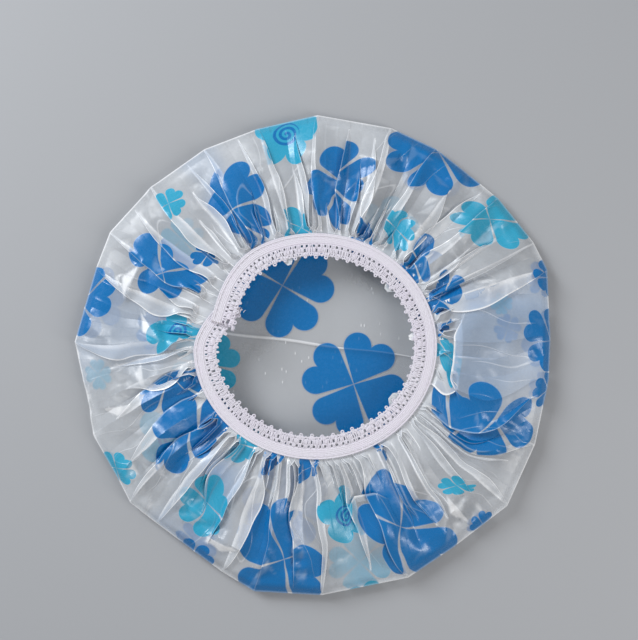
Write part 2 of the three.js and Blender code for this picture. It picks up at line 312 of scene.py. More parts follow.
# White of the film's crease lines: partly film whitened at creases, partly a painted highlight along fold
# crests.
CREASE_AND_HIGHLIGHT_WHITE = (0.95, 0.96, 0.98)
YARN_WHITE = (0.84, 0.81, 0.89)
YARN_STAIN = (0.78, 0.72, 0.84)
TAPE_STAIN = (0.79, 0.73, 0.84)
THREAD_WHITE = (0.84, 0.82, 0.87)
RUBBER_DARK, RUBBER_PALE = (0.62, 0.55, 0.42), (0.78, 0.73, 0.62)
# How dark the painted shade between fibres and in the knit's hollows makes the yarn and tape.
YARN_SHADE, TAPE_SHADE = 0.82, 0.84
FLOOR_GREY = (0.4, 0.41, 0.43)

# Values between which most of a noise lies.
NOISE_SPAN = (0.3, 0.7)

# Stage, in metres, watts and millimetres of lens. Lights: name, place, size, power and colour.
FLOOR_REACH = 4
FLOOR_LEVEL = -0.0004
FLOOR_FADE, FLOOR_ROUGHNESS = (0.4, 1.3), 0.6
WORLD_LIGHT = 0.3
LIGHTS = [
    ("key", (-0.85, 0.7, 0.85), (0.6, 0.6), 15, (0.94, 0.97, 1)),
    ("side", (0.75, -0.35, 0.85), (0.3, 0.8), 5, (1, 0.98, 0.96)),
]
CAMERA_PLACE = (0.0032, 0.0201, 0.735)
CAMERA_LENS, CAMERA_SENSOR = 70, 36


def smooth(value, low, high):
    """Eased step from 0 at low to 1 at high."""
    t = np.clip((np.asarray(value, float) - low) / (np.asarray(high, float) - low), 0, 1)
    return t * t * (3 - 2 * t)


def between(a, b, whole=TURN):
    """The angle between two directions, the shorter way round, as parts of a whole turn."""
    return np.abs((a - b + whole / 2) % whole - whole / 2)


def circle(turn):
    """Points of the unit circle at angles in radians."""
    return np.stack([np.cos(turn), np.sin(turn)], -1)


def unit(vectors):
    return vectors / np.linalg.norm(vectors, axis=-1, keepdims=True)


def mouth_edge(turn, inset):
    """Points of the mouth's oval, set in by inset, at angles in radians."""
    axes = MOUTH_AXES - np.broadcast_to(np.asarray(inset, float), turn.shape)[..., None]
    return MOUTH_CENTRE + axes * circle(turn)


def new_mesh(name, points, faces):
    """A smooth mesh of points in millimetres."""
    mesh = bpy.data.meshes.new(name)
    mesh.from_pydata((np.asarray(points) * MM).tolist(), [], faces)
    mesh.shade_smooth()
    return mesh


def new_object(name, data):
    thing = bpy.data.objects.new(name, data)
    bpy.context.collection.objects.link(thing)
    return thing


def new_shape(name, mesh, material):
    mesh.materials.append(material)
    return new_object(name, mesh)


def ring_quads(near, far):
    """Faces between rows of points, each row a closed ring."""
    return np.stack([near, np.roll(near, -1, 1), np.roll(far, -1, 1), far], -1).reshape(-1, 4)


def whole_numbers(items, name):
    """One whole number from each of a mesh's items."""
    values = np.empty(len(items), np.int32)
    items.foreach_get(name, values)
    return values


def corner_points(mesh):
    """The point of each face corner."""
    return whole_numbers(mesh.loops, "vertex_index")


def add_uv(mesh, name, places):
    mesh.uv_layers.new(name=name).data.foreach_set("uv", places.astype(np.float32).ravel())


def add_values(mesh, name, domain, values):
    mesh.attributes.new(name, "FLOAT", domain).data.foreach_set("value", values.astype(np.float32))


# Materials

def new_material(name):
    material = bpy.data.materials.new(name)
    material.use_nodes = True
    tree = material.node_tree
    return material, tree, tree.nodes["Principled BSDF"]


def feed(node, inputs):
    """Fills a node's inputs, by place or by name: a socket is linked, anything else is set."""
    for key, value in inputs.items() if isinstance(inputs, dict) else enumerate(inputs):
        if isinstance(value, bpy.types.NodeSocket):
            node.id_data.links.new(value, node.inputs[key])
        else:
            node.inputs[key].default_value = value


def add(tree, kind, inputs=(), **settings):
    """Adds a shader node with its settings and inputs."""
    node = tree.nodes.new("ShaderNode" + kind)
    for key, value in settings.items():
        setattr(node, key, value)
    feed(node, inputs)
    return node


def calc(operation, *values):
    """A sum on numbers and sockets, in the tree that its first socket belongs to."""
    tree = next(value.id_data for value in values if isinstance(value, bpy.types.NodeSocket))
    return add(tree, "Math", values, operation=operation).outputs[0]


plus, minus, times = (partial(calc, name) for name in ("ADD", "SUBTRACT", "MULTIPLY"))
largest, smallest = partial(calc, "MAXIMUM"), partial(calc, "MINIMUM")


def length_of(x, y):
    return calc("SQRT", plus(times(x, x), times(y, y)))


def mix(factor, a, b):
    """A colour between a and b."""
    a, b = (c if isinstance(c, bpy.types.NodeSocket) else (*c, 1) for c in (a, b))
    return add(factor.id_data, "Mix", {"Factor": factor, 6: a, 7: b}, data_type="RGBA").outputs[2]


def blend_values(factor, a, b):
    """A number between a and b."""
    return add(factor.id_data, "Mix", {"Factor": factor, "A": a, "B": b}).outputs[0]


def remap(value, low, high, to_low=0.0, to_high=1.0):
    """A number eased from one range to another."""
    inputs = [value, low, high, to_low, to_high]
    return add(value.id_data, "MapRange", inputs, interpolation_type="SMOOTHSTEP").outputs[0]


def uv(tree, name):
    return add(tree, "UVMap", uv_map=name).outputs[0]


def attribute(tree, name):
    return add(tree, "Attribute", attribute_name=name).outputs["Fac"]


def stretched(vector, x, y):
    return add(vector.id_data, "VectorMath", [vector, (x, y, 1.0)], operation="MULTIPLY").outputs[0]


def noise(vector, scale, detail, dimensions="2D"):
    inputs = {"Vector": vector, "Scale": scale, "Detail": detail}
    return add(vector.id_data, "TexNoise", inputs, noise_dimensions=dimensions).outputs["Fac"]


def cells(vector, scale):
    inputs = {"Vector": vector, "Scale": scale}
    return add(vector.id_data, "TexVoronoi", inputs, voronoi_dimensions="2D").outputs["Distance"]


def connect(shader, colour, roughness, height, strength, distance):
    """Gives a shader its colour and roughness, and a bump of a height."""
    bump = add(shader.id_data, "Bump", {"Height": height, "Strength": strength, "Distance": distance})
    feed(shader, {"Base Color": colour, "Roughness": roughness, "Normal": bump.outputs[0]})


def clover_mask(radius, turn):
    """1 inside a clover of four heart-shaped leaves, which reach to a radius of about 0.92."""
    far = math.hypot(LOBE_X, LOBE_Y)
    edge = math.atan2(LOBE_Y, LOBE_X) + math.asin(LOBE_RADIUS / far)
    touch = math.sqrt(far ** 2 - LOBE_RADIUS ** 2)
    folded = calc("PINGPONG", turn, math.pi / 4)
    along = times(radius, calc("COSINE", folded))
    aside = times(radius, calc("SINE", folded))
    past = minus(along, LOBE_X)
    lobe = minus(length_of(past, minus(aside, LOBE_Y)), LOBE_RADIUS)
    wedge = minus(times(aside, math.cos(edge)), times(along, math.sin(edge)))
    beyond = plus(times(along, math.cos(edge)), times(aside, math.sin(edge)))
    beyond = largest(past, minus(beyond, touch))
    leaf = smallest(lobe, largest(wedge, beyond))
    return remap(leaf, CLOVER_BLUR, -CLOVER_BLUR)


def flower_masks(radius, turn):
    """Masks of a five-petalled flower and of the spiral in its middle."""
    folded = calc("PINGPONG", turn, math.pi / 5)
    along = minus(times(radius, calc("COSINE", folded)), PETAL_PLACE)
    petal = length_of(along, times(radius, calc("SINE", folded)))
    petal = smallest(minus(petal, PETAL_RADIUS), minus(radius, FLOWER_MIDDLE))
    wound = minus(calc("DIVIDE", radius, SPIRAL_PITCH), calc("DIVIDE", turn, TURN))
    line = calc("ABSOLUTE", minus(calc("FRACT", wound), 0.5))
    spiral = times(remap(line, *SPIRAL_LINE), remap(radius, *SPIRAL_EDGE))
    return remap(petal, FLOWER_BLUR, -FLOWER_BLUR), spiral


def film_ink(tree):
    """How much ink is on the film, and its colour."""
    spot = uv(tree, "Print")
    split = add(tree, "SeparateXYZ", [spot])
    radius = add(tree, "VectorMath", [spot], operation="LENGTH").outputs["Value"]
    turn = calc("ARCTAN2", split.outputs[1], split.outputs[0])
    flower, spiral = flower_masks(radius, turn)
    is_flower = attribute(tree, "flower")
    ink = blend_values(is_flower, clover_mask(radius, turn), flower)
    colour = mix(attribute(tree, "turquoise"), BLUE_INK, TURQUOISE_INK)
    return ink, mix(times(spiral, is_flower), colour, BLUE_INK)


def film_lines(tree, flat, polar, out):
    """Masks of all the film's white lines (creases, whitened partly by a painted highlight, and
    scratches), and of the stray creases alone.
    """
    contour = calc("ABSOLUTE", minus(noise(stretched(polar, 0.16, 0.011), 1.0, 0.0), 0.5))
    stray = times(remap(contour, 0.016, 0.0), remap(out, *STRAY_START))
    stray = times(stray, remap(noise(flat, 12.0, 1.0), 0.44, 0.58))
    line = remap(attribute(tree, "crease_and_highlight"), 0.05, 0.8)
    line = largest(line, times(stray, STRAY_WHITE))
    scratch = remap(cells(stretched(flat, 80.0, 32.0), 1.0), 0.1, 0.04)
    patches = remap(noise(flat, 14.0, 1.0), 0.5, 0.58, 0.0, SCRATCH_WHITE)
    patches = times(patches, remap(out, *SCRATCHED_CROWN, 1.0, 0.0))
    return largest(line, times(scratch, patches)), stray


def film_opacity(flat, out, line, streak):
    """How opaque the film is where no ink lies: hazy, and whiter along its gathers and its lines, which
    are partly a painted highlight.
    """
    haze = remap(noise(flat, 9.0, 3.0), *NOISE_SPAN, *FILM_OPACITY)
    haze = times(haze, remap(out, *CROWN_TO_SKIRT, CROWN_SHARE, 1.0))
    haze = plus(haze, times(streak, STREAK_OPACITY))
    return plus(haze, times(line, remap(out, *GATHERS, *LINE_OPACITY)))


def film_material():
    material, tree, shader = new_material("printed_film")
    ink, ink_colour = film_ink(tree)
    flat = uv(tree, "Flat")
    polar = uv(tree, "Polar")
    out = add(tree, "SeparateXYZ", [polar]).outputs[1]
    line, stray = film_lines(tree, flat, polar, out)
    streak = times(noise(stretched(polar, 0.8, 0.045), 1.0, 1.0), remap(out, *GATHERS))
    opacity = blend_values(ink, film_opacity(flat, out, line, streak), INK_OPACITY)

    # A painted bluish reflection on some panels of the skirt.
    blue_sheen = times(attribute(tree, "blue_sheen"), remap(noise(flat, 5.0, 2.0), 0.3, 0.55, 0.4, 1.0))
    # White crease lines: partly film whitened at creases, partly a painted highlight along fold crests.
    film_colour = mix(line, mix(blue_sheen, FILM_WHITE, SHEEN_BLUE), CREASE_AND_HIGHLIGHT_WHITE)
    # A painted highlight pales the ink along creases, more on the skirt than on the crown.
    ink_highlight = times(line, remap(out, *CROWN_TO_SKIRT, *INK_HIGHLIGHT_SHARES))
    ink_colour = mix(ink_highlight, ink_colour, INK_HIGHLIGHT_BLUE)
    grain = noise(flat, 160.0, 3.0)
    roughness = remap(grain, *NOISE_SPAN, *FILM_ROUGHNESS)
    relief = reduce(plus, map(times, (cells(flat, 26.0), grain, stray, streak), FILM_RELIEF))
    connect(shader, mix(ink, film_colour, ink_colour), roughness, relief, 0.4, 0.0012)
    feed(shader, {"Alpha": opacity, "IOR": FILM_IOR, "Specular IOR Level": FILM_GLOSS})
    return material


def yarn_material(name, colour, fibre, sheen):
    """Matt yarn with fine fibres, darker between them as painted shade: fibre is their pitch in
    millimetres.
    """
    material, tree, shader = new_material(name)
    place = add(tree, "TexCoord").outputs["Object"]
    fibres = noise(place, 1 / (fibre * MM), 3.0, "3D")
    stain = remap(noise(place, 60.0, 2.0, "3D"), 0.4, 0.7, 0.0, 0.35)
    # Painted shade between the fibres.
    shade = mix(remap(fibres, *NOISE_SPAN), [YARN_SHADE * c for c in colour], colour)
    shade = mix(stain, shade, YARN_STAIN)
    connect(shader, shade, remap(fibres, *NOISE_SPAN, 0.65, 0.9), fibres, 0.5, 0.00015)
    feed(shader, {"Sheen Weight": sheen})
    return material


def tape_material():
    """Knitted tape: fine slanting stitches in rows along it, darker in their hollows as painted shade."""
    material, tree, shader = new_material("knitted_tape")
    knit = uv(tree, "Knit")
    split = add(tree, "SeparateXYZ", [knit])
    slant = times(calc("PINGPONG", split.outputs[1], KNIT_ROW), KNIT_SLANT)
    phase = times(plus(split.outputs[0], slant), TURN / KNIT_PITCH)
    fibres = noise(knit, 3.0, 3.0)
    relief = plus(calc("SINE", phase), fibres)
    stain = remap(noise(knit, 0.08, 2.0), 0.4, 0.7, 0.0, 0.4)
    # Painted shade in the hollows of the knit.
    shade = mix(remap(relief, -0.6, 1.4), [TAPE_SHADE * c for c in YARN_WHITE], YARN_WHITE)
    shade = mix(stain, shade, TAPE_STAIN)
    connect(shader, shade, remap(fibres, *NOISE_SPAN, 0.6, 0.85), relief, 0.55, 0.00008)
    feed(shader, {"Sheen Weight": 0.15})
    return material


def rubber_material():
    material, tree, shader = new_material("raw_rubber")
    place = add(tree, "TexCoord").outputs["Object"]
    dust = noise(place, 900.0, 3.0, "3D")
    colour = mix(dust, RUBBER_DARK, RUBBER_PALE)
    feed(shader, {"Base Color": colour, "Roughness": remap(dust, *NOISE_SPAN, 0.5, 0.8)})
    return material


# Film form

def rim_radius(turn):
    """Distance from the middle to the rim's straight-sided outline, at angles in radians."""
    angles, out = np.array(RIM_CORNERS).T
    angles = np.radians(angles)
    corners = (CAP_RADIUS + out)[:, None] * circle(angles)
    k = np.searchsorted(angles, turn % TURN, side="right") - 1
    start = corners[k]
    side = corners[(k + 1) % len(corners)] - start
    ray = circle(turn)
    area = start[:, 0] * side[:, 1] - start[:, 1] * side[:, 0]
    return area / (ray[:, 0] * side[:, 1] - ray[:, 1] * side[:, 0])


def is_calm(angle):
    return any((angle - start) % 360 < end - start for start, end in CALM_PANELS)


def neighbours(angles):
    """Pairs of each angle, in degrees, and the next one round the cap."""
    return zip(angles, angles[1:] + [angles[0] + 360])


def nearest_fold(folds, angle):
    return between(folds[:, 0], angle, 360).argmin()


def place_folds(rng, corners):
    """Angle, start, size and lean of each fold: at the rim's corners, between them, and gathers."""
    folds = []
    for angle in corners:
        calm = is_calm(angle)
        start = rng.uniform(*CALM_STARTS) if calm else 0.0
        size = 1.0 if calm else rng.uniform(*CORNER_SIZES)
        folds.append((angle, start, size, rng.uniform(*CORNER_LEANS)))
    for a, b in neighbours(corners):
        angle = a + (b - a) * rng.uniform(*MIDDLE_PLACES)
        if b - a > WIDE_SIDE and not is_calm(angle):
            start = rng.uniform(*MIDDLE_STARTS)
            folds.append((angle, start, rng.uniform(*MIDDLE_SIZES), rng.uniform(*MIDDLE_LEANS)))
    for a, b in neighbours(sorted(fold[0] for fold in folds)):
        count = max(1, round((b - a) / GATHER_SPACING) - 1)
        for k in range(count):
            angle = a + (b - a) * (k + 1 + rng.uniform(-GATHER_JITTER, GATHER_JITTER)) / (count + 1)
            start = rng.uniform(*GATHER_STARTS) ** (0.5 if is_calm(angle) else 1)
            folds.append((angle, start, rng.uniform(*GATHER_SIZES), rng.uniform(*GATHER_LEANS)))
    folds = np.array(sorted((fold[0] % 360, *fold[1:]) for fold in folds))
    for angle, start, size in LONG_FOLDS:
        folds[nearest_fold(folds, angle), 1:3] = start, size
    return folds


def strayed(turn, rng, lowest, highest, size, jitter):
    """A smooth random curve round the cap, made of a few waves, with some jitter, in radians."""
    value = np.zeros_like(turn)
    for count in range(lowest, highest + 1):
        value += rng.normal(0, 1) * np.cos(count * turn + rng.uniform(0, TURN))
    value = math.radians(size) * value / math.sqrt(highest - lowest + 1)
    return value + np.radians(rng.uniform(-jitter, jitter, len(turn)))


def make_folds(rng):
    """The skirt's folds: where each lies and starts, how it leans and strays, and its ridge or valley."""
    corners = [angle for angle, _ in RIM_CORNERS]
    folds = place_folds(rng, corners)
    angle = np.radians(folds[:, 0])
    lean = np.radians(folds[:, 3]) * rng.choice([-1, 1], len(folds))
    for place, tilt in SET_LEANS:
        lean[nearest_fold(folds, place)] = math.radians(tilt)
    bend = np.zeros(len(folds))
    for place, spread, turn in BENDS:
        away = between(angle, math.radians(place))
        bend += math.radians(turn) * (1 - smooth(away, 0, math.radians(spread)))
    drift = strayed(angle, rng, *DRIFT)
    bow = strayed(angle, rng, *BOW)
    phase = rng.uniform(0, TURN, len(folds))
    valleys = [(a + (b - a) / 2) % 360 for a, b in neighbours(corners)]
    heights = [1] * len(corners) + [-1] * len(valleys)
    ridge = np.interp(folds[:, 0], *zip(*sorted(zip(corners + valleys, heights))), period=360)
    shape = dict(start=folds[:, 1], size=folds[:, 2], lean=lean, ridge=ridge)
    return dict(angle=angle, drift=drift, bow=bow, bend=bend, phase=phase, **shape)


def in_order(angle):
    """Keeps angles round a full turn in their order and a little apart."""
    steps = np.diff(np.append(angle, angle[0] + TURN))
    steps = np.maximum(steps, math.radians(LEAST_STEP))
    steps *= TURN / steps.sum()
    return angle[0] + np.concatenate([[0], np.cumsum(steps)[:-1]])


def fold_angles(folds, share):
    """Where each fold lies at one share of the skirt, in radians."""
    angle = folds["angle"] + folds["drift"] * share + folds["bow"] * math.sin(math.pi * share)
    angle = angle + folds["bend"] * smooth(share, *BEND_SHARES)
    wobble = math.radians(WOBBLE) * share * np.sin(WOBBLE_WAVES * share + folds["phase"])
    return in_order(angle + wobble)


def evened(weight, spacing, angle):
    """Shares of the film to take in, scaled so that each stretch of the skirt takes in the same."""
    apart = between(angle[:, None], angle)
    near = spacing * np.exp(-0.5 * (apart / math.radians(EVEN_SPREAD)) ** 2)
    return weight * spacing * near.sum(1) / (near @ weight)


def fold_tilts(folds, wall, share, pressed):
    """How far each fold leans: less beside the band, but wide or pressed folds lie nearly flat."""
    upright = folds["lean"] * (1 - FOLD_RISE * smooth(share, *RISE_SHARES))
    wide = smooth(share, *LAID_SHARES) * smooth(wall, *WIDE_WALLS)
    laid = np.maximum(pressed, FULLY_LAID * wide)
    return upright * (1 - laid) + np.sign(folds["lean"]) * math.radians(FLAT_LEAN) * laid


def pleated_row(flat, curve, folds, share, pressed):
    """One row of the skirt, which takes in its cut length over a closed curve with leaning folds.

    Gives the row's points across, each point's height over the row and its angle on the flat disc."""
    closed = np.concatenate([curve, curve[:1]])
    length = np.concatenate([[0], np.cumsum(np.linalg.norm(np.diff(closed, axis=0), axis=1))])
    whole = length[-1]
    angle = fold_angles(folds, share)
    at = np.interp(angle % TURN, np.linspace(0, TURN, len(length)), length)
    gap = (np.roll(at, -1) - at) % whole
    begun = smooth(share, folds["start"], folds["start"] + FOLD_GROWTH)
    size = folds["size"] + (1 - folds["size"]) * smooth(share, *EVEN_SHARES)
    weight = evened(size * begun + LEAST_FOLD, gap + np.roll(gap, 1), angle)
    wall = max(0.0, TURN * flat - whole) * weight / (2 * weight.sum())
    on_flat = np.concatenate([[0], np.cumsum(gap + wall + np.roll(wall, -1))[:-1]])
    on_flat -= flat * np.angle(np.exp(1j * (on_flat / flat - angle)).mean())
    across = COLUMN_ACROSS * gap[:, None]
    cut = on_flat[:, None] + COLUMN_SIDE * (1 - COLUMN_CLIMB) * wall[:, None] + across

    tilt = fold_tilts(folds, wall, share, pressed)
    lean_along, lean_up = np.sin(tilt)[:, None], np.cos(tilt)[:, None]
    rise = COLUMN_CLIMB * wall[:, None]
    apart = COLUMN_APART * np.minimum(FOLD_ROOM, FOLD_ROOM_SHARE * wall)[:, None]
    foot = at[:, None] + across
    along = (foot + rise * lean_along + apart * lean_up).ravel() % whole
    points = np.stack([np.interp(along, length, closed[:, axis]) for axis in (0, 1)], -1)

    puff = np.minimum(gap, SWELL_WIDTH) * SWELL_SHARE * (1 - pressed)
    puff = puff * np.minimum(begun, np.roll(begun, -1))
    ridge = folds["ridge"]
    ridge = ridge[:, None] + COLUMN_ACROSS * (np.roll(ridge, -1) - ridge)[:, None]
    ground = np.sin(math.pi * COLUMN_ACROSS) * puff[:, None]
    ground = ground + ridge * np.interp(share, SKIRT_SHARES, RIDGE_HEIGHTS)
    lying = COLUMN_CLIMB == 0
    under = np.interp(along, foot[:, lying].ravel() % whole, ground[:, lying].ravel(), period=whole)
    height = under + (rise * lean_up - apart * lean_along).ravel()
    return points, height, cut.ravel() / flat


def hem_inset(turn, share):
    """How far in from the band's outer edge the film lies, from the seam (0) to its raw edge (1)."""
    width = np.full(turn.shape, HEM_WIDTH + HEM_OUTSIDE)
    for angle, extra, spread in HEM_TAGS:
        away = between(turn, math.radians(angle))
        width += extra * np.clip(TAG_BLUNTNESS * (1 - away / math.radians(spread)), 0, 1)
    return width * share - HEM_OUTSIDE


def skirt_share(flat):
    """The share of the skirt that lies at a radius on the flat disc."""
    return (flat - RIM_FOLD) / (SEAM_LINE - RIM_FOLD)


def skirt_rows(folds):
    """Rows of the film from the rim's fold to its raw edge: points, radius and angles on the disc."""
    turn = np.linspace(0, TURN, CURVE_STEPS, endpoint=False)
    rim = rim_radius(turn)[:, None] * circle(turn)
    radii = np.linspace(RIM_FOLD, SEAM_LINE, SKIRT_ROWS, endpoint=False)
    rows = []
    for flat in np.concatenate([radii, np.linspace(SEAM_LINE, FLAT_RADIUS, HEM_ROWS)]):
        share = skirt_share(flat)
        inset = hem_inset(turn, max(0, flat - SEAM_LINE) / (FLAT_RADIUS - SEAM_LINE))
        curve = rim * max(0, 1 - share) + mouth_edge(turn, inset) * min(1, share)
        pressed = smooth(share, PRESS_START, 1)
        points, height, angles = pleated_row(flat, curve, folds, min(1, share), pressed)
        height += np.interp(share, SKIRT_SHARES, SKIRT_LEVELS)
        rows.append((np.column_stack([points, height]), flat, angles))
    return rows


def rim_rows(angles):
    """Rows from the crown's edge up to the rim's fold, which ends in the skirt's first angles."""
    count = len(angles)
    even = TURN * np.arange(count) / count
    even += (angles - even).mean()
    rows = []
    for flat in np.linspace(CROWN_EDGE, RIM_FOLD, RIM_ROWS, endpoint=False):
        t = np.clip((flat - CROWN_FLAT) / (RIM_FOLD - CROWN_FLAT), 0, 1)
        turn = even + (angles - even) * smooth(flat, CROWN_EDGE, RIM_FOLD)
        reach = flat + (rim_radius(turn) - RIM_FOLD) * t ** RIM_SWELL
        height = np.full(count, CROWN_LEVEL + (RIM_LEVEL - CROWN_LEVEL) * t ** RIM_RISE)
        rows.append((np.column_stack([reach[:, None] * circle(turn), height]), flat, turn))
    return rows


def strewn_crumples(rng):
    """Small dents at random places on the skirt, listed as the larger ones are."""
    crumples = []
    for _ in range(CRUMPLES):
        share = rng.uniform(*CRUMPLE_SHARES)
        turn = rng.uniform(0, TURN)
        reach = CAP_RADIUS + (MOUTH_AXES.mean() - CAP_RADIUS) * share
        height = rng.choice([-1, 1]) * rng.uniform(*CRUMPLE_HEIGHTS)
        wide, long = rng.uniform(*CRUMPLE_WIDTHS), rng.uniform(*CRUMPLE_LENGTHS)
        crumples.append((*(reach * circle(turn)), wide, long, height, rng.uniform(0, 180)))
    return crumples


def add_dents(points, creases_and_highlights, dents):
    for x, y, wide, long, height, turn in dents:
        c, s = math.cos(math.radians(turn)), math.sin(math.radians(turn))
        dx, dy = points[..., 0] - x, points[..., 1] - y
        across, along = (c * dx + s * dy) / wide, (c * dy - s * dx) / long
        inside = np.maximum(0, 1 - np.abs(across) - np.abs(along))
        points[..., 2] += height * inside
        # One side of each dent, and of each small crumple, gets a painted highlight.
        white = DENT_HIGHLIGHT * min(1, abs(height) / FULL_DENT)
        creases_and_highlights += white * smooth(inside, 0, DENT_EDGE) * smooth(-across, 0, DENT_CREST)


def add_tucks(points, rho, creases_and_highlights):
    """Laps the skirt over its own gathers in a few places, with a sharp edge on the band's side."""
    share = skirt_share(rho)
    turn = np.arctan2(points[..., 1], points[..., 0])
    for angle, spread, edge, reach in TUCKS:
        row = np.abs(share - edge).argmin()
        over = smooth(share, edge - TUCK_LENGTH, share[row])
        over = over * (1 - smooth(share, share[row], share[row] + TUCK_ROOM))
        away = between(turn, math.radians(angle))
        lap = over[:, None] * smooth(1 - away / math.radians(spread), 0, TUCK_EASE)
        points[..., :2] -= reach * lap[..., None] * circle(turn)
        points[..., 2] += TUCK_RISE * lap
        # The tuck's edge gets a white crease line, partly a painted highlight.
        creases_and_highlights[row] = np.maximum(creases_and_highlights[row], lap[row])


def add_ripples(points, rho, rng):
    """Slight waves of the skirt, still at the rim and the seam."""
    share = np.clip(skirt_share(rho), 0, 1)
    size = RIPPLE_HEIGHT * np.sin(np.pi * share) ** RIPPLE_FULLNESS
    for _ in range(RIPPLES):
        way = rng.uniform(0, TURN)
        wave = TURN / rng.uniform(*RIPPLE_LENGTHS)
        phase = wave * (points[..., 0] * math.cos(way) + points[..., 1] * math.sin(way))
        points[..., 2] += size[:, None] * np.sin(phase + rng.uniform(0, TURN))


def crease_and_crest_highlight(grid, rho):
    """How white each point of the grid is: film whitened where it creases along fold crests and the rim,
    partly a painted highlight on the crests.
    """
    before, after = grid - np.roll(grid, 1, 1), np.roll(grid, -1, 1) - grid
    lengths = np.linalg.norm(before, axis=2), np.linalg.norm(after, axis=2)
    cosine = (before * after).sum(2) / (lengths[0] * lengths[1] + 1e-9)
    sharp = smooth(np.arccos(np.clip(cosine, -1, 1)), *WHITE_BENDS)
    sharp = sharp * smooth(np.minimum(*lengths), *WHITE_LENGTHS)
    sharp[np.abs(rho - RIM_FOLD).argmin()] = RIM_WHITE
    return sharp


def crown_points(rng):
    """Points inside the crown's edge, with height and how white the crease is, partly a painted highlight:
    an even field and the long crease.
    """
    along = CREASE_END - CREASE_START
    long = np.linalg.norm(along)
    along = along / long
    aside = np.array([-along[1], along[0]])
    points = []
    for row, column in product(range(-CROWN_REACH, CROWN_REACH + 1), repeat=2):
        place = np.array([(column + 0.5 * (row % 2)) * CROWN_STEP, row * CROWN_ROW])
        place = place + rng.uniform(-CROWN_JITTER, CROWN_JITTER, 2)
        far = place - CREASE_START
        beside = abs(far @ aside) < CREASE_WIDTH + CREASE_SIDE
        beside = beside and -CREASE_TIP < far @ along < long + CREASE_TIP
        if np.hypot(*place) < CROWN_EDGE - CROWN_MARGIN and not beside:
            points.append((*place, CROWN_LEVEL, 0))
    for offset, step in product(CREASE_OFFSETS, np.arange(0, long, CREASE_STEP)):
        fade = math.sin(math.pi * step / long) ** 0.5
        height = CREASE_HEIGHT * fade * (1 - abs(offset) / CREASE_WIDTH)
        sway = CREASE_SWAY * math.sin(step / CREASE_WAVE)
        place = CREASE_START + along * step + aside * (offset + sway)
        broad = smooth(step / long, *BROAD_START) * (1 - smooth(step / long, *BROAD_END))
        white = 1 if offset == 0 else BROAD_WHITE * broad if abs(offset) < 1 else 0
        points.append((*place, CROWN_LEVEL + height, fade * white))
    return np.array(points)


def crown_faces(ring, inside):
    """Triangles that close the crown inside its edge."""
    edges = [(k, (k + 1) % len(ring)) for k in range(len(ring))]
    faces = delaunay_2d_cdt([Vector(p) for p in np.concatenate([ring, inside])], edges, [], 1, 1e-7)[2]
    return [tuple(reversed(face)) for face in faces]


def painted_blue_sheen(polar):
    """How strong the painted bluish reflection is at points given by angle and radius on the flat disc."""
    angle, out = polar.T
    sheen_share = np.zeros(len(polar))
    for middle, spread in SHEEN_PANELS:
        away = between(angle, middle, 360)
        sheen_share = np.maximum(sheen_share, 1 - smooth(away, 0.5 * spread, 1.5 * spread))
    return sheen_share * smooth(out, *SHEEN_START) * (1 - smooth(out, *SHEEN_END))


def print_film(mesh, flat):
    """Writes, on each face, its place inside the nearest motif, and that motif's kind."""
    motifs = [(kind, *motif) for kind, group in MOTIFS.items() for motif in group]
    kinds, angles, radii, sizes, spins = zip(*motifs)
    centre = np.array(radii)[:, None] * circle(np.radians(angles))
    size = np.array(sizes, float)
    starts = whole_numbers(mesh.polygons, "loop_start")
    totals = whole_numbers(mesh.polygons, "loop_total")
    corners = flat[corner_points(mesh)]
    middle = np.add.reduceat(corners, starts) / totals[:, None]
    nearest = (np.linalg.norm(middle[:, None] - centre[None], axis=2) - size).argmin(1)
    own = np.repeat(nearest, totals)
    x, y = ((corners - centre[own]) / size[own, None]).T
    c, s = circle(np.radians(spins)[own]).T
    add_uv(mesh, "Print", np.stack([c * x + s * y, c * y - s * x], -1))
    for name, named in (("turquoise", ("turquoise", "flower")), ("flower", ("flower",))):
        flag = np.array([kind in named for kind in kinds])
        add_values(mesh, name, "FACE", flag[nearest])


def film_grid(rng):
    """The film outside its crown: points, their places on the flat disc, and how white they are from
    creases and painted highlights.
    """
    skirt = skirt_rows(make_folds(rng))
    rows = rim_rows(np.unwrap(skirt[0][2])) + skirt
    grid, rho, turns = (np.array(part) for part in zip(*rows))
    creases_and_highlights = crease_and_crest_highlight(grid, rho)
    free = slice(RIM_ROWS, -HEM_ROWS)
    dents = DENTS + strewn_crumples(np.random.default_rng(CRUMPLE_SEED))
    add_dents(grid[free], creases_and_highlights[free], dents)
    add_tucks(grid, rho, creases_and_highlights)
    add_ripples(grid, rho, rng)
    return grid, rho[:, None, None] * circle(turns), creases_and_highlights


